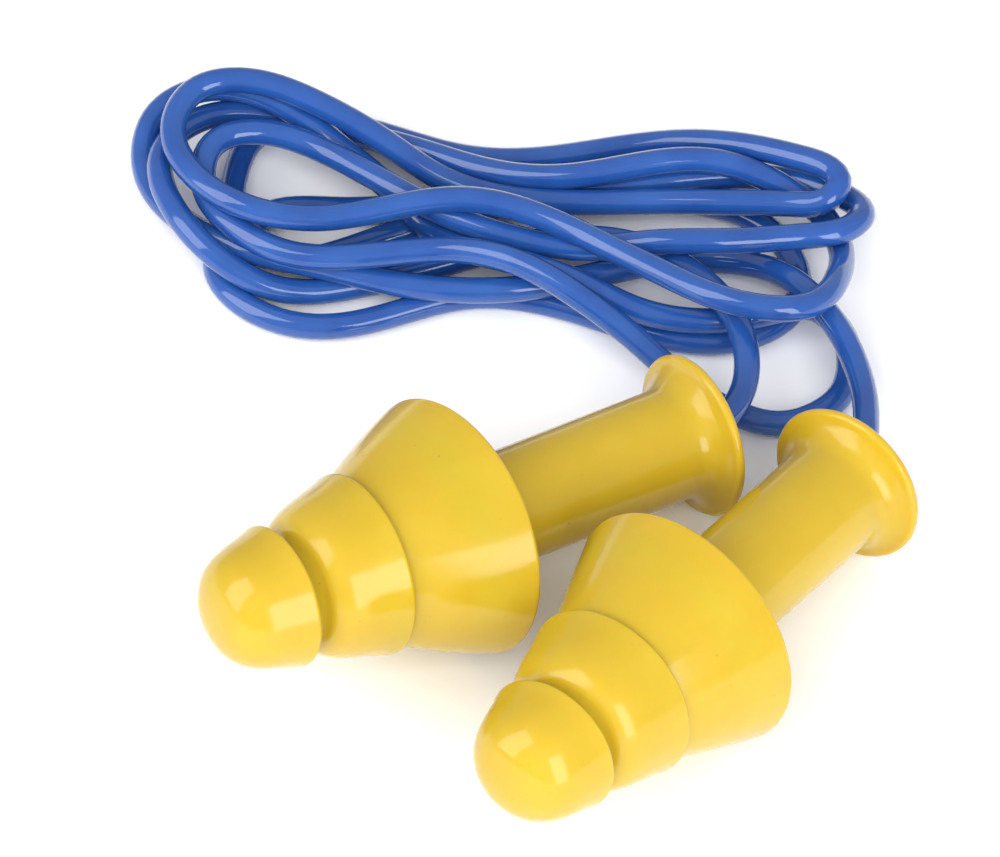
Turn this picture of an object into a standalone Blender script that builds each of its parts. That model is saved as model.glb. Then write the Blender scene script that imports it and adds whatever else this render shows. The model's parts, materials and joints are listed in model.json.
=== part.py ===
"""A pair of corded, reusable triple-flange ear plugs with their cord lying in a loose bundle.

Each plug is one moulding of soft rubber: a blunt nose, two thin umbrella skirts, a round stem and
a bell at the rear. One long cord joins the rear centres of the two bells. The sizes below are in
millimetres, and MM turns them into metres. +Z is up, and the origin is under the middle of the
two plugs, on the surface that they lie on.
"""

import math

import bmesh
import bpy
from mathutils import Vector

MM = 0.001

# Plug. A point is (distance along the axis from the nose tip, radius).
NECK_RADIUS = 2.3
STEM_RADIUS = 2.77
NOSE_EDGE = (3.72, 3.51)
SECOND_EDGE = (8.38, 4.52)
THIRD_EDGE = (14.05, 6.25)
BELL_EDGE = (27.75, 4.07)
SKIRT_LIP = 0.17
BELL_LIP = 0.25
FLARE_START = 26.1
FLARE_RADIUS = 1.45
FLARE_SWEEP = math.radians(75)
REAR_FACE_INNER_RADIUS = 3.0
CUP_FLOOR = 26.2
CUP_FLOOR_RADIUS = 1.1
PLUG_SIDES = 24

# Where the plugs lie: the nose tip on the floor plan, and where the nose-to-bell line points.
LEFT_NOSE = (-16.20, -4.28)
LEFT_HEADING = math.radians(34.5)
RIGHT_NOSE = (-2.32, -13.69)
RIGHT_HEADING = math.radians(54.04)

# Cord: its diameter, the gap that touching pieces keep, and the stretches outside the bundle.
CORD_DIAMETER = 1.3
TOUCH_GAP = 0.3
CORD_SPACING = 2.0 * CORD_DIAMETER
LEFT_LEAD = [(5.5, 10.6, 4.2), (7.7, 12.3, 3.8), (8.9, 15.2, 3.3), (8.7, 18.1, 3.3)]
RIGHT_LEAD = [
    (13.6, 19.2, 2.4),
    (14.1, 17.5, 2.8),
    (14.6, 15.1, 3.1),
    (14.7, 11.8, 3.6),
    (14.4, 9.3, 3.8),
    (13.1, 7.6, 4.2),
]
FLOOR_LOOP = [
    (12.3, 19.0, 1.4),
    (13.4, 18.3, 1.0),
    (13.8, 17.0, 0.7),
    (13.0, 15.6, 0.7),
    (11.2, 14.7, 0.7),
    (8.6, 15.0, 1.0),
    (5.6, 16.8, 1.7),
    (3.8, 18.1, 2.4),
]

# Bundle: the outline is two round ends joined by straight sides.
BUNDLE_LEFT = ((-13.3, 26.8), 8.0)
BUNDLE_RIGHT = ((8.4, 25.9), 7.1)
BUNDLE_HEIGHT = 5.6
BUNDLE_END_STEPS = 14
BUNDLE_EDGE_ROUND = 1.2

RUBBER_YELLOW = (0.80, 0.52, 0.04, 1.0)
CORD_BLUE = (0.05, 0.13, 0.42, 1.0)


def clear_scene():
    for item in list(bpy.data.objects):
        bpy.data.objects.remove(item, do_unlink=True)


def make_material(name, colour, roughness):
    material = bpy.data.materials.new(name)
    material.use_nodes = True
    shader = material.node_tree.nodes["Principled BSDF"]
    shader.inputs["Base Color"].default_value = colour
    shader.inputs["Roughness"].default_value = roughness
    shader.inputs["Metallic"].default_value = 0.0
    return material


def bezier(start, start_pull, end_pull, end, steps):
    """Points of a cubic curve between two profile points."""
    points = []
    for step in range(steps + 1):
        t = step / steps
        weights = ((1 - t) ** 3, 3 * t * (1 - t) ** 2, 3 * t * t * (1 - t), t ** 3)
        corners = (start, start_pull, end_pull, end)
        points.append(tuple(sum(w * c[k] for w, c in zip(weights, corners)) for k in (0, 1)))
    return points


def arc(centre, radius, start_angle, end_angle, steps):
    """Points of an arc; the angle is measured from the rearward axis towards the outside."""
    points = []
    for step in range(steps + 1):
        angle = start_angle + (end_angle - start_angle) * step / steps
        along = centre[0] + radius * math.cos(angle)
        points.append((along, centre[1] + radius * math.sin(angle)))
    return points


def rounded_lip(edge, lip, slope, steps=3):
    """The round edge of a skirt whose outside rises by slope where it ends."""
    centre = (edge[0], edge[1] - lip)
    quarter = math.radians(90)
    return arc(centre, lip, quarter + slope, slope - quarter, steps)


def plug_outline():
    """Half the section of a plug: down its outside from the nose, then into the bell's cup."""
    nose_lip = rounded_lip(NOSE_EDGE, SKIRT_LIP, 0.36)
    second_lip = rounded_lip(SECOND_EDGE, SKIRT_LIP, 0.35)
    third_lip = rounded_lip(THIRD_EDGE, SKIRT_LIP, 0.27)
    flare_centre = (FLARE_START, STEM_RADIUS + FLARE_RADIUS)
    flare_end = math.radians(-90) + FLARE_SWEEP
    bell_centre = (BELL_EDGE[0], BELL_EDGE[1] - BELL_LIP)
    rear = BELL_EDGE[0] + BELL_LIP
    points = bezier((0, 0), (0, 3.19), (2.17, 2.94), nose_lip[0], 7)
    points += nose_lip[1:]
    points += bezier(nose_lip[-1], (3.5, 3.05), (3.2, 2.7), (3.1, NECK_RADIUS), 3)[1:]
    points.append((4.6, NECK_RADIUS))
    points += bezier((4.77, 2.78), (5.07, 3.97), (6.73, 3.92), second_lip[0], 6)
    points += second_lip[1:]
    points += bezier(second_lip[-1], (7.6, 3.85), (6.9, 3.3), (6.8, NECK_RADIUS), 3)[1:]
    points.append((7.7, NECK_RADIUS))
    points += bezier((8.05, 3.6), (8.3, 4.1), (12.9, 5.85), third_lip[0], 7)
    points += third_lip[1:]
    points += bezier(third_lip[-1], (11.6, 5.4), (10.1, 4.6), (10.3, STEM_RADIUS), 4)[1:]
    points += arc(flare_centre, FLARE_RADIUS, math.radians(-90), flare_end, 4)
    points += arc(bell_centre, BELL_LIP, math.radians(165), 0, 4)
    points += bezier((rear, REAR_FACE_INNER_RADIUS), (27.3, 2.5), (26.4, 2.0),
                     (CUP_FLOOR, CUP_FLOOR_RADIUS), 3)
    points.append((CUP_FLOOR, 0))
    return points


def plug_tilt():
    """How far the nose-to-bell line drops when the third skirt and the bell rest on the floor."""
    third_axis_height = THIRD_EDGE[1] - SKIRT_LIP
    bell_axis_height = BELL_EDGE[1] - BELL_LIP
    along = BELL_EDGE[0] - THIRD_EDGE[0]
    drop = math.atan2(third_axis_height - bell_axis_height, along)
    span = math.hypot(third_axis_height - bell_axis_height, along)
    return drop + math.asin((SKIRT_LIP - BELL_LIP) / span)


def nose_height():
    tilt = plug_tilt()
    skirt_axis = SKIRT_LIP + (THIRD_EDGE[1] - SKIRT_LIP) * math.cos(tilt)
    return skirt_axis + THIRD_EDGE[0] * math.sin(tilt)


def plug_direction(heading):
    tilt = plug_tilt()
    return Vector((
        math.cos(tilt) * math.cos(heading),
        math.cos(tilt) * math.sin(heading),
        -math.sin(tilt),
    ))


def make_plug(name, nose, heading, material):
    """A turned plug on a swivel empty that stands where the cord leaves the bell."""
    nose_tip = Vector((nose[0], nose[1], nose_height()))
    pivot = nose_tip + plug_direction(heading) * CUP_FLOOR
    swivel = bpy.data.objects.new(name + "_swivel", None)
    swivel.location = pivot * MM
    bpy.context.collection.objects.link(swivel)

    mesh = bpy.data.meshes.new(name)
    outline = [(radius * MM, 0, -along * MM) for along, radius in plug_outline()]
    edges = [(index, index + 1) for index in range(len(outline) - 1)]
    mesh.from_pydata(outline, edges, [])
    plug = bpy.data.objects.new(name, mesh)
    bpy.context.collection.objects.link(plug)
    plug.parent = swivel
    plug.location = (nose_tip - pivot) * MM
    plug.rotation_euler = (0, plug_tilt() - math.radians(90), heading)

    turned = plug.modifiers.new("turned", "SCREW")
    turned.axis = "Z"
    turned.steps = PLUG_SIDES
    turned.render_steps = PLUG_SIDES
    turned.use_merge_vertices = True
    turned.merge_threshold = 0.00001
    turned.use_smooth_shade = True
    mesh.materials.append(material)
    return plug


def smooth_route(points, spacing):
    """Points about one spacing apart on a smooth curve through the route's own points."""
    route = [Vector(point) for point in points]
    padded = [2 * route[0] - route[1]] + route + [2 * route[-1] - route[-2]]
    samples = [route[0]]
    for index in range(1, len(padded) - 2):
        before, start, end, after = padded[index - 1:index + 3]
        steps = max(1, round((end - start).length / spacing))
        for step in range(1, steps + 1):
            t = step / steps
            samples.append(
                start
                + 0.5 * t * (end - before)
                + t * t * (before - 2.5 * start + 2 * end - 0.5 * after)
                + t ** 3 * (1.5 * start - 0.5 * before - 1.5 * end + 0.5 * after)
            )
    return samples


def make_cord(name, route, material):
    """A plain round tube along one stretch of the cord."""
    samples = smooth_route(route, CORD_SPACING)
    curve = bpy.data.curves.new(name, "CURVE")
    curve.dimensions = "3D"
    curve.bevel_depth = CORD_DIAMETER / 2 * MM
    curve.bevel_resolution = 2
    curve.use_fill_caps = True
    spline = curve.splines.new("POLY")
    spline.points.add(len(samples) - 1)
    for point, sample in zip(spline.points, samples):
        point.co = (*(sample * MM), 1.0)
    spline.use_smooth = True
    curve.materials.append(material)
    cord = bpy.data.objects.new(name, curve)
    bpy.context.collection.objects.link(cord)
    return cord


def bundle_outline():
    """The plan of the bundle, anticlockwise: the left end's arc, then the right end's."""
    (left, left_radius), (right, right_radius) = BUNDLE_LEFT, BUNDLE_RIGHT
    across = math.hypot(right[0] - left[0], right[1] - left[1])
    lean = math.atan2(right[1] - left[1], right[0] - left[0])
    open_angle = math.acos((left_radius - right_radius) / across)
    ends = (
        (left, left_radius, lean + open_angle, lean + math.tau - open_angle),
        (right, right_radius, lean - open_angle, lean + open_angle),
    )
    points = []
    for centre, radius, first, last in ends:
        for step in range(BUNDLE_END_STEPS + 1):
            angle = first + (last - first) * step / BUNDLE_END_STEPS
            points.append((
                centre[0] + radius * math.cos(angle),
                centre[1] + radius * math.sin(angle),
            ))
    return points


def make_bundle(name, material):
    """One solid of the outer shape of the folded cord, with its top edge rounded off."""
    shape = bmesh.new()
    corners = [shape.verts.new((x * MM, y * MM, 0)) for x, y in bundle_outline()]
    base = shape.faces.new(corners)
    raised = bmesh.ops.extrude_face_region(shape, geom=[base])["geom"]
    top = [item for item in raised if isinstance(item, bmesh.types.BMVert)]
    bmesh.ops.translate(shape, verts=top, vec=(0, 0, BUNDLE_HEIGHT * MM))
    top_edges = [edge for edge in shape.edges if all(vert in top for vert in edge.verts)]
    bmesh.ops.bevel(shape, geom=top_edges, offset=BUNDLE_EDGE_ROUND * MM, segments=2,
                    profile=0.5, affect="EDGES")
    bmesh.ops.recalc_face_normals(shape, faces=shape.faces)
    mesh = bpy.data.meshes.new(name)
    shape.to_mesh(mesh)
    shape.free()
    mesh.materials.append(material)
    mesh.shade_smooth()
    mesh.set_sharp_from_angle(angle=math.radians(40))
    bundle = bpy.data.objects.new(name, mesh)
    bpy.context.collection.objects.link(bundle)
    return bundle


def main():
    clear_scene()
    left_rubber = make_material("left_plug_rubber", RUBBER_YELLOW, 0.4)
    right_rubber = make_material("right_plug_rubber", RUBBER_YELLOW, 0.4)
    make_plug("plug_left", LEFT_NOSE, LEFT_HEADING, left_rubber)
    make_plug("plug_right", RIGHT_NOSE, RIGHT_HEADING, right_rubber)
    for name, route in (
        ("cord_lead_left", LEFT_LEAD),
        ("cord_lead_right", RIGHT_LEAD),
        ("cord_floor_loop", FLOOR_LOOP),
    ):
        make_cord(name, route, make_material(name + "_sheath", CORD_BLUE, 0.25))
    make_bundle("cord_bundle", make_material("cord_bundle_sheath", CORD_BLUE, 0.25))


main()
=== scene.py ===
"""Looks of a pair of corded, reusable triple-flange ear plugs: two yellow rubber plugs and one
long blue cord that lies folded in a loose bundle behind them."""

import json
import math

import bpy
import numpy as np
from mathutils import Matrix, Vector


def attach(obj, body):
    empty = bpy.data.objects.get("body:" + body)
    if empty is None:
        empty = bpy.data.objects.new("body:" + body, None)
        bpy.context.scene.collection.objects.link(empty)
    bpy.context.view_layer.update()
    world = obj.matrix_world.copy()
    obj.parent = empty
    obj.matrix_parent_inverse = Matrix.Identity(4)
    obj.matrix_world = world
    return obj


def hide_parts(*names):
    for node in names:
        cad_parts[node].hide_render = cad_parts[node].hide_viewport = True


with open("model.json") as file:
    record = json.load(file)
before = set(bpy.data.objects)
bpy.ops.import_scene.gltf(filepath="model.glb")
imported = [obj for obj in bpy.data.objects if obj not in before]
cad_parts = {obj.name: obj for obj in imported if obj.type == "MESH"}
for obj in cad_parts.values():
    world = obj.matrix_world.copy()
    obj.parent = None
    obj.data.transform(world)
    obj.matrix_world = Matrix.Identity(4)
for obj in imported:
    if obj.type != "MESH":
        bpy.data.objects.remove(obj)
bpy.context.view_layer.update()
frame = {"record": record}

MM = 0.001

# Stage: the floor, the world's light and where the softboxes point, in metres.
FLOOR_HALF_SIDE = 0.6
WORLD_STRENGTH = 0.58
SOFTBOX_AIM = (0, 0.01, 0)

# Camera: seen from the front and above, from far off.
CAMERA_TARGET = (-2.9, 14.7, 0.0)
CAMERA_DISTANCE = 591.4
CAMERA_ELEVATION = math.radians(50.65)
CAMERA_ROLL = math.radians(1.19)
CAMERA_LENS = 439.3

# Cord.
CORD_DIAMETER = 1.3
CORD_SAMPLE_SPACING = 0.4
CORD_ROUTE = (
    # From the left plug, up to the bundle.
    (5.1, 10.4, 4.2), (7.7, 12.4, 3.8), (8.9, 15.2, 3.4), (8.5, 18.9, 3.4),
    # Leftwards under the top pass.
    (6.6, 22.1, 2.9), (3.8, 24.5, 2.3), (0.4, 25.5, 1.6), (-3.2, 25.3, 0.9),
    (-6.7, 24.1, 0.7), (-10.2, 22.9, 0.7), (-13.8, 22.2, 1.2),
    # Round the left end.
    (-16.9, 23.2, 2.4), (-19.2, 26.0, 3.0), (-19.7, 29.6, 2.8), (-17.6, 32.1, 2.5),
    (-14.1, 32.7, 1.9), (-10.5, 32.1, 1.5),
    # Rightwards along the back.
    (-7.0, 30.9, 1.6), (-3.7, 29.4, 2.0), (-0.1, 28.6, 2.6), (3.5, 29.0, 3.1),
    (7.2, 29.4, 3.1), (10.6, 28.6, 2.3),
    # Round the right end, climbing.
    (12.7, 27.2, 1.7), (13.4, 25.7, 1.8), (13.6, 23.7, 2.5), (13.3, 21.5, 3.6),
    # The top pass, leftwards.
    (12.6, 19.7, 4.4), (11.7, 18.8, 4.8), (8.1, 18.8, 5.1), (5.0, 20.8, 4.6),
    (2.0, 23.0, 4.1), (-1.2, 24.8, 4.1), (-4.8, 25.5, 4.4), (-8.5, 25.1, 4.1),
    (-12.1, 24.5, 3.9), (-15.7, 24.9, 4.3), (-18.4, 27.3, 4.2),
    # Round the left end on top.
    (-19.2, 30.1, 4.3), (-18.2, 32.0, 4.6), (-15.6, 32.6, 4.7), (-12.3, 31.9, 4.0),
    (-9.0, 30.6, 2.8), (-5.9, 28.8, 2.0),
    # Rightwards.
    (-2.4, 27.7, 1.9), (1.3, 27.5, 2.0), (5.0, 27.4, 2.3), (8.5, 27.1, 2.7),
    (11.4, 26.9, 2.9), (12.6, 26.8, 3.2), (13.3, 27.3, 3.5),
    # Leftwards along the back, down to the floor.
    (13.4, 28.0, 3.6), (12.9, 28.7, 3.6), (11.8, 29.4, 3.4), (9.3, 30.6, 2.8),
    (5.8, 31.7, 1.8), (2.2, 31.7, 1.1), (-1.4, 31.3, 0.7), (-5.1, 31.4, 0.7),
    (-8.7, 32.6, 0.7), (-12.3, 33.4, 0.7),
    # Round inside the left end, on the floor.
    (-15.0, 32.7, 0.7), (-16.1, 30.3, 0.7), (-16.5, 27.0, 0.7),
    # Rightwards along the front, on the floor.
    (-16.9, 23.7, 0.7), (-15.1, 21.3, 0.7), (-11.8, 20.3, 0.7), (-8.2, 21.2, 0.7),
    (-4.7, 22.4, 0.7), (-1.1, 22.2, 0.7), (2.4, 21.0, 0.7), (6.0, 19.9, 0.7),
    (9.5, 20.4, 0.7), (11.5, 22.6, 0.7), (11.1, 25.3, 1.0),
    # Back leftwards through the middle, and a buried turn.
    (8.8, 27.8, 1.0), (5.3, 29.0, 0.7), (1.7, 29.8, 0.7), (-1.9, 29.8, 0.7),
    (-5.5, 28.8, 0.7), (-8.5, 28.0, 0.7), (-11.0, 27.8, 0.7), (-13.1, 27.8, 0.7),
    (-14.6, 27.3, 0.7), (-15.2, 26.1, 0.7), (-14.7, 25.0, 0.7),
    # Rightwards, inside.
    (-13.4, 24.5, 0.7), (-11.6, 24.8, 0.7), (-9.6, 25.7, 0.7), (-7.4, 26.7, 0.7),
    (-4.6, 27.8, 0.7), (-0.9, 28.8, 1.2), (2.8, 28.9, 1.7), (6.4, 29.3, 1.9),
    (10.1, 29.7, 1.6),
    # The outer turn at the right end.
    (13.1, 28.5, 2.1), (14.1, 27.7, 2.3), (14.6, 26.6, 2.7),
    # Leftwards.
    (14.3, 25.6, 3.1), (13.5, 24.8, 3.4), (11.5, 24.4, 3.4), (8.4, 23.7, 3.8),
    (4.7, 23.6, 3.7),
    # Round the left end, innermost.
    (1.1, 23.9, 2.8), (-2.5, 24.4, 2.9), (-5.9, 25.7, 3.1), (-9.0, 27.7, 3.1),
    (-12.0, 29.8, 2.9), (-15.1, 30.5, 3.3), (-17.2, 29.6, 3.4),
    # Rightwards, second from the top.
    (-17.7, 27.5, 3.1), (-16.3, 24.8, 3.1), (-13.3, 22.9, 3.1), (-9.6, 22.7, 3.3),
    (-6.0, 23.0, 3.5), (-2.5, 22.0, 4.0), (0.7, 20.2, 3.6), (3.7, 18.3, 2.5),
    # The loop on the floor behind the bells.
    (6.5, 16.1, 1.5), (8.8, 14.9, 1.1), (10.5, 14.7, 0.8), (12.2, 15.3, 0.7),
    (13.4, 16.4, 0.7), (14.0, 18.2, 0.7), (13.9, 19.6, 1.0), (13.3, 20.6, 1.4),
    # Leftwards along the front.
    (12.3, 21.2, 1.8), (11.1, 21.1, 1.9), (9.2, 20.5, 1.9), (3.8, 20.4, 2.3),
    (0.4, 21.6, 3.1),
    # Slanting back to the left end.
    (-2.9, 23.1, 2.8), (-5.9, 25.1, 1.9), (-8.3, 27.9, 1.9), (-10.9, 30.4, 2.2),
    (-13.9, 32.4, 3.1), (-17.3, 33.2, 3.4),
    # Round the left end, outermost.
    (-20.1, 32.0, 2.7), (-20.6, 29.3, 1.8), (-18.9, 26.3, 1.7),
    # Rightwards.
    (-15.9, 24.2, 1.9), (-12.4, 23.2, 2.0), (-8.8, 22.3, 1.9), (-5.1, 21.8, 1.9),
    # On rightwards, under the top pass.
    (-1.4, 22.1, 1.9), (2.0, 23.5, 1.4), (5.5, 24.7, 1.0), (9.0, 24.2, 1.5),
    # To the right plug.
    (12.6, 20.2, 3.1), (13.5, 18.8, 2.9), (14.3, 16.7, 2.8), (14.7, 14.3, 3.1),
    (14.7, 11.8, 3.6), (14.4, 9.3, 3.8), (12.9, 7.2, 4.2),
)

# Softboxes: (name, azimuth and elevation in degrees, distance, size in metres, power, mirrored).
SOFTBOXES = (
    ("left_softbox", -70, 39, 0.50, (0.30, 0.60), 1.8, True),
    ("right_softbox", 31, 20, 0.50, (0.24, 0.44), 1.6, True),
    ("fill_softbox", 5, 46, 0.60, (0.60, 0.40), 3.2, False),
)

# Plug profile: (distance along the axis from the nose tip, radius), as in the CAD.
NECK_RADIUS = 2.3
STEM_RADIUS = 2.77
NOSE_EDGE = (3.72, 3.51)
SECOND_EDGE = (8.38, 4.52)
THIRD_EDGE = (14.05, 6.25)
BELL_EDGE = (27.75, 4.07)
SKIRT_LIP = 0.17
BELL_LIP = 0.25
FLARE_START = 26.1
FLARE_RADIUS = 1.45
FLARE_SWEEP = math.radians(75)
STEM_START = 10.3
CUP_FLOOR = 26.2
CORD_SOCKET_RIM = 26.75
PLUG_SIDES = 144

# Third skirts: the radius from which one is out of true, growing to its edge, and by how much at
# the edge (pushed, lean, side lean, rise, squash; make_plug says what they are).
SKIRT_ROOT_RADIUS = 3.0
LEFT_SKIRT_SHAPE = (-0.35, 0.64, -0.15, 0.19, 0.43)
RIGHT_SKIRT_SHAPE = (0.36, -0.17, 0.34, -0.04, 0.10)


# ---------------------------------------------------------------- camera, light and floor

def place_camera():
    data = bpy.data.cameras.new("camera")
    data.sensor_width = 36.0
    data.lens = CAMERA_LENS
    data.clip_start = 0.05
    camera = bpy.data.objects.new("camera", data)
    bpy.context.collection.objects.link(camera)
    toward = Vector((0, -math.cos(CAMERA_ELEVATION), math.sin(CAMERA_ELEVATION)))
    camera.location = (Vector(CAMERA_TARGET) + toward * CAMERA_DISTANCE) * MM
    upright = toward.to_track_quat("Z", "Y").to_matrix().to_4x4()
    turned = upright @ Matrix.Rotation(CAMERA_ROLL, 4, "Z")
    camera.rotation_euler = turned.to_euler()
    bpy.context.scene.camera = camera


def add_softbox(name, azimuth, elevation, distance, size, power, mirrored=True):
    """A rectangular light that faces the plugs; azimuth 0 is on the camera's side, and only a
    mirrored one shows up in glossy surfaces."""
    data = bpy.data.lights.new(name, "AREA")
    data.shape = "RECTANGLE"
    data.size, data.size_y = size
    data.energy = power
    light = bpy.data.objects.new(name, data)
    bpy.context.collection.objects.link(light)
    light.visible_glossy = mirrored
    out = Vector((
        math.sin(azimuth) * math.cos(elevation),
        -math.cos(azimuth) * math.cos(elevation),
        math.sin(elevation),
    ))
    light.location = out * distance + Vector(SOFTBOX_AIM)
    light.rotation_euler = out.to_track_quat("Z", "Y").to_euler()


def light_scene():
    world = bpy.data.worlds.new("studio")
    world.use_nodes = True
    background = world.node_tree.nodes["Background"]
    background.inputs["Color"].default_value = (1.0, 1.0, 1.0, 1.0)
    background.inputs["Strength"].default_value = WORLD_STRENGTH
    bpy.context.scene.world = world
    bpy.context.scene.view_settings.view_transform = "Standard"
    for name, azimuth, elevation, distance, size, power, mirrored in SOFTBOXES:
        azimuth, elevation = math.radians(azimuth), math.radians(elevation)
        add_softbox(name, azimuth, elevation, distance, size, power, mirrored)


def lay_floor():
    half = FLOOR_HALF_SIDE
    mesh = bpy.data.meshes.new("floor")
    corners = [(-half, -half, 0), (half, -half, 0), (half, half, 0), (-half, half, 0)]
    mesh.from_pydata(corners, [], [(0, 1, 2, 3)])
    floor = bpy.data.objects.new("floor", mesh)
    bpy.context.collection.objects.link(floor)
    shader = new_material(floor, "floor_paper")[2]
    shader.inputs["Base Color"].default_value = (0.96, 0.96, 0.96, 1)
    shader.inputs["Roughness"].default_value = 0.9
    shader.inputs["Specular IOR Level"].default_value = 0.1


# ---------------------------------------------------------------- materials

def new_material(piece, name):
    material = bpy.data.materials.new(name)
    material.use_nodes = True
    piece.data.materials.clear()
    piece.data.materials.append(material)
    nodes = material.node_tree.nodes
    return nodes, material.node_tree.links, nodes["Principled BSDF"]


def add_noise(nodes, links, source, scale, detail=3.0):
    noise = nodes.new("ShaderNodeTexNoise")
    noise.inputs["Scale"].default_value = scale
    noise.inputs["Detail"].default_value = detail
    links.new(source, noise.inputs["Vector"])
    return noise.outputs["Fac"]


def add_ramp(nodes, links, factor, stops):
    ramp = nodes.new("ShaderNodeValToRGB")
    elements = ramp.color_ramp.elements
    while len(elements) < len(stops):
        elements.new(0.5)
    for element, (position, colour) in zip(elements, stops):
        element.position = position
        element.color = (*colour, 1)
    links.new(factor, ramp.inputs["Fac"])
    return ramp.outputs["Color"]


def add_mix(nodes, links, factor, first, second, blend="MIX"):
    mix = nodes.new("ShaderNodeMix")
    mix.data_type = "RGBA"
    mix.blend_type = blend
    colours = [socket for socket in mix.inputs if socket.type == "RGBA"]
    for socket, value in ((mix.inputs[0], factor), (colours[0], first), (colours[1], second)):
        if isinstance(value, bpy.types.NodeSocket):
            links.new(value, socket)
        else:
            socket.default_value = value
    return [socket for socket in mix.outputs if socket.type == "RGBA"][0]


def add_bumps(nodes, links, shader, layers):
    """Stacks (height, strength, distance) layers into the shader's normal."""
    normal = None
    for height, strength, distance in layers:
        bump = nodes.new("ShaderNodeBump")
        bump.inputs["Strength"].default_value = strength
        bump.inputs["Distance"].default_value = distance
        links.new(height, bump.inputs["Height"])
        if normal is not None:
            links.new(normal, bump.inputs["Normal"])
        normal = bump.outputs["Normal"]
    links.new(normal, shader.inputs["Normal"])


def rubber_material(piece, name):
    """Satin yellow rubber: faint mottling, a fine moulded grain and a few specks of dust."""
    nodes, links, shader = new_material(piece, name)
    place = nodes.new("ShaderNodeTexCoord").outputs["Object"]
    mottle = add_noise(nodes, links, place, 260, 4.0)
    base = add_ramp(nodes, links, mottle, (
        (0.25, (0.455, 0.308, 0.016)),
        (0.75, (0.500, 0.348, 0.024)),
    ))
    dust = add_noise(nodes, links, place, 3400, 1.0)
    specks = add_ramp(nodes, links, dust, ((0.79, (0, 0, 0)), (0.82, (0.7,) * 3)))
    colour = add_mix(nodes, links, specks, base, (0.36, 0.20, 0.04, 1))
    links.new(colour, shader.inputs["Base Color"])
    grain = add_noise(nodes, links, place, 5200, 2.0)
    waves = add_noise(nodes, links, place, 420, 2.0)
    gloss = add_ramp(nodes, links, waves, ((0.3, (0.15,) * 3), (0.7, (0.20,) * 3)))
    links.new(gloss, shader.inputs["Roughness"])
    add_bumps(nodes, links, shader, ((waves, 0.10, 0.0002), (grain, 0.10, 0.00003)))
    shader.inputs["Subsurface Weight"].default_value = 0.45
    shader.inputs["Subsurface Radius"].default_value = (1.0, 0.40, 0.06)
    shader.inputs["Subsurface Scale"].default_value = 0.0018
    shader.inputs["IOR"].default_value = 1.45


def sheath_material(piece, name):
    """Glossy blue vinyl, faintly clouded."""
    nodes, links, shader = new_material(piece, name)
    place = nodes.new("ShaderNodeTexCoord").outputs["Object"]
    cloud = add_noise(nodes, links, place, 380, 3.0)
    colour = add_ramp(nodes, links, cloud, (
        (0.3, (0.012, 0.061, 0.265)),
        (0.7, (0.020, 0.086, 0.320)),
    ))
    links.new(colour, shader.inputs["Base Color"])
    draw = add_noise(nodes, links, place, 900, 2.0)
    gloss = add_ramp(nodes, links, draw, ((0.3, (0.06,) * 3), (0.7, (0.11,) * 3)))
    links.new(gloss, shader.inputs["Roughness"])
    add_bumps(nodes, links, shader, ((draw, 0.12, 0.00006),))
    shader.inputs["Subsurface Weight"].default_value = 0.25
    shader.inputs["Subsurface Radius"].default_value = (0.25, 0.45, 1.0)
    shader.inputs["Subsurface Scale"].default_value = 0.0008
    shader.inputs["IOR"].default_value = 1.54
    shader.inputs["Coat Weight"].default_value = 0.2
    shader.inputs["Coat Roughness"].default_value = 0.05


# ---------------------------------------------------------------- the cord

def natural_spline(points, spacing):
    """Points about one spacing apart on the natural cubic curve through the given points."""
    points = np.array(points)
    chords = np.linalg.norm(np.diff(points, axis=0), axis=1)
    knots = np.concatenate([[0.0], np.cumsum(chords)])
    count = len(points)
    system = np.eye(count)
    right = np.zeros_like(points)
    slopes = np.diff(points, axis=0) / chords[:, None]
    for row in range(1, count - 1):
        system[row, row - 1] = chords[row - 1]
        system[row, row] = 2 * (chords[row - 1] + chords[row])
        system[row, row + 1] = chords[row]
        right[row] = 6 * (slopes[row] - slopes[row - 1])
    bends = np.linalg.solve(system, right)
    where = np.linspace(0, knots[-1], round(knots[-1] / spacing) + 1)
    piece = np.clip(np.searchsorted(knots, where) - 1, 0, count - 2)
    step = chords[piece][:, None]
    after = (where - knots[piece])[:, None]
    before = step - after
    return (
        (bends[piece] * before ** 3 + bends[piece + 1] * after ** 3) / (6 * step)
        + (points[piece] / step - bends[piece] * step / 6) * before
        + (points[piece + 1] / step - bends[piece + 1] * step / 6) * after
    )


def make_cord():
    path = natural_spline(CORD_ROUTE, CORD_SAMPLE_SPACING)
    path[:, 2] = np.maximum(path[:, 2], CORD_DIAMETER / 2)
    curve = bpy.data.curves.new("cord", "CURVE")
    curve.dimensions = "3D"
    curve.bevel_depth = CORD_DIAMETER / 2 * MM
    curve.bevel_resolution = 6
    curve.use_fill_caps = True
    spline = curve.splines.new("POLY")
    spline.points.add(len(path) - 1)
    flat = np.concatenate([path * MM, np.ones((len(path), 1))], axis=1)
    spline.points.foreach_set("co", flat.ravel())
    spline.use_smooth = True
    cord = bpy.data.objects.new("cord", curve)
    bpy.context.collection.objects.link(cord)
    sheath_material(cord, "blue_sheath")
    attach(cord, "cord")
    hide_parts("cord_lead_left", "cord_floor_loop", "cord_bundle", "cord_lead_right")


# ---------------------------------------------------------------- the plugs

def bezier(start, start_pull, end_pull, end, steps):
    t = np.linspace(0, 1, steps + 1)[:, None]
    corners = [np.array(corner, dtype=float) for corner in (start, start_pull, end_pull, end)]
    weights = ((1 - t) ** 3, 3 * t * (1 - t) ** 2, 3 * t * t * (1 - t), t ** 3)
    return list(sum(weight * corner for weight, corner in zip(weights, corners)))


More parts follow.
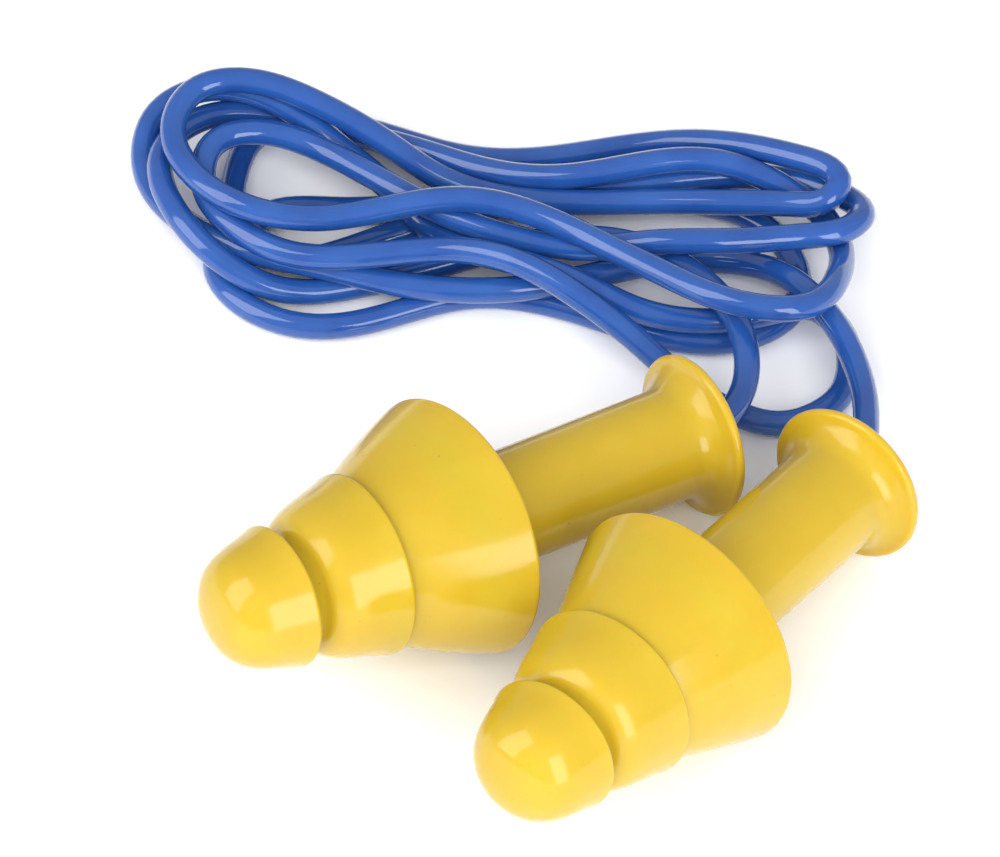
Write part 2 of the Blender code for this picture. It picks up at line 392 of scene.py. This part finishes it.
def arc(centre, radius, start_angle, end_angle, steps):
    angles = np.linspace(start_angle, end_angle, steps + 1)
    return [np.array([centre[0] + radius * math.cos(a), centre[1] + radius * math.sin(a)])
            for a in angles]


def rounded_lip(edge, slope):
    centre = (edge[0], edge[1] - SKIRT_LIP)
    quarter = math.radians(90)
    return arc(centre, SKIRT_LIP, quarter + slope, slope - quarter, 10)


def plug_outline():
    """Half the section of a plug, down its outside from the nose, then into the bell's cup,
    and which of its points lie on the third skirt."""
    nose_lip = rounded_lip(NOSE_EDGE, 0.36)
    second_lip = rounded_lip(SECOND_EDGE, 0.35)
    third_lip = rounded_lip(THIRD_EDGE, 0.27)
    flare_centre = (FLARE_START, STEM_RADIUS + FLARE_RADIUS)
    flare_end = math.radians(-90) + FLARE_SWEEP
    bell_centre = (BELL_EDGE[0], BELL_EDGE[1] - BELL_LIP)
    rear = BELL_EDGE[0] + BELL_LIP
    points = bezier((0, 0), (0, 3.19), (2.17, 2.94), nose_lip[0], 36)
    points += nose_lip[1:]
    points += bezier(nose_lip[-1], (3.5, 3.05), (3.2, 2.7), (3.1, NECK_RADIUS), 10)[1:]
    points.append(np.array([4.6, NECK_RADIUS]))
    points += bezier((4.77, 2.78), (5.07, 3.97), (6.73, 3.92), second_lip[0], 36)
    points += second_lip[1:]
    points += bezier(second_lip[-1], (7.6, 3.85), (6.9, 3.3), (6.8, NECK_RADIUS), 10)[1:]
    points.append(np.array([7.7, NECK_RADIUS]))
    skirt_start = len(points) - 1
    points += bezier((8.05, 3.6), (8.3, 4.1), (12.9, 5.85), third_lip[0], 44)
    points += third_lip[1:]
    points += bezier(third_lip[-1], (11.6, 5.4), (10.1, 4.6),
                     (STEM_START, STEM_RADIUS), 16)[1:]
    skirt = slice(skirt_start, len(points) - 1)
    stem = np.linspace(STEM_START, FLARE_START, 30)[1:-1]
    points += [np.array([along, STEM_RADIUS]) for along in stem]
    points += arc(flare_centre, FLARE_RADIUS, math.radians(-90), flare_end, 16)
    points += arc(bell_centre, BELL_LIP, math.radians(165), 0, 12)
    points += bezier((rear, 3.4), (27.9, 2.5), (26.4, 2.2), (CUP_FLOOR, 1.5), 14)
    points += bezier((CUP_FLOOR, 1.4), (26.2, 1.0), (26.4, 0.8),
                     (CORD_SOCKET_RIM, 0.72), 8)
    socket = ((CORD_SOCKET_RIM, 0.6), (CUP_FLOOR, 0.5), (CUP_FLOOR, 0.0))
    points += [np.array(point) for point in socket]
    return np.array(points), skirt


def smooth_step(value):
    value = np.clip(value, 0, 1)
    return value * value * (3 - 2 * value)


def make_plug(name, node, body, ear_mount, skirt_shape):
    """A turned plug. Its soft third skirt is a little out of true: skirt_shape is how far its
    edge is pushed rearwards, leans back at the top, leans at the side, rises and is squashed."""
    pushed, lean, side_lean, rise, squash = skirt_shape
    outline, skirt = plug_outline()
    count = len(outline)
    angles = np.arange(PLUG_SIDES) * math.tau / PLUG_SIDES
    along = np.repeat(outline[1:-1, 0][:, None], PLUG_SIDES, axis=1)
    radius = np.repeat(outline[1:-1, 1][:, None], PLUG_SIDES, axis=1)
    turn = angles[None, :]
    reach = np.zeros_like(radius)
    reach[skirt] = smooth_step(
        (radius[skirt] - SKIRT_ROOT_RADIUS) / (THIRD_EDGE[1] - SKIRT_ROOT_RADIUS)
    )
    along = along + reach * (pushed + lean * np.cos(turn) + side_lean * np.sin(turn))
    radius = radius + reach * (rise * np.cos(turn) - squash * np.cos(2 * turn))

    rings = np.stack([radius * np.cos(angles), radius * np.sin(angles), -along], axis=-1)
    vertices = np.concatenate([
        [[0, 0, -outline[0, 0]]], rings.reshape(-1, 3), [[0, 0, -outline[-1, 0]]],
    ])
    index = 1 + np.arange((count - 2) * PLUG_SIDES).reshape(count - 2, PLUG_SIDES)
    beside = np.roll(index, -1, axis=1)
    faces = [(0, int(a), int(b)) for a, b in zip(index[0], beside[0])]
    for ring in range(count - 3):
        quads = zip(index[ring], index[ring + 1], beside[ring + 1], beside[ring])
        faces += [tuple(int(corner) for corner in quad) for quad in quads]
    last = len(vertices) - 1
    faces += [(int(a), last, int(b)) for a, b in zip(index[-1], beside[-1])]

    mesh = bpy.data.meshes.new(name)
    mesh.from_pydata((vertices * MM).tolist(), [], faces)
    mesh.shade_smooth()
    plug = bpy.data.objects.new(name, mesh)
    bpy.context.collection.objects.link(plug)
    nose_way = Vector(ear_mount["axis"]).normalized()
    side = Vector((-nose_way.y, nose_way.x, 0)).normalized()
    upper = side.cross(nose_way)
    if upper.z < 0:
        upper = -upper
    attitude = Matrix((upper, nose_way.cross(upper), nose_way)).transposed().to_4x4()
    mesh.transform(Matrix.Translation(ear_mount["pos_m"]) @ attitude)
    rubber_material(plug, name + "_rubber")
    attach(plug, body)
    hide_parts(node)


place_camera()
make_cord()
mounts = {mount["name"]: mount for mount in frame["record"]["mounts"]}
make_plug("left_plug_skin", "plug_left", "left_plug", mounts["ear_left"],
          LEFT_SKIRT_SHAPE)
make_plug("right_plug_skin", "plug_right", "right_plug", mounts["ear_right"],
          RIGHT_SKIRT_SHAPE)
lay_floor()
light_scene()
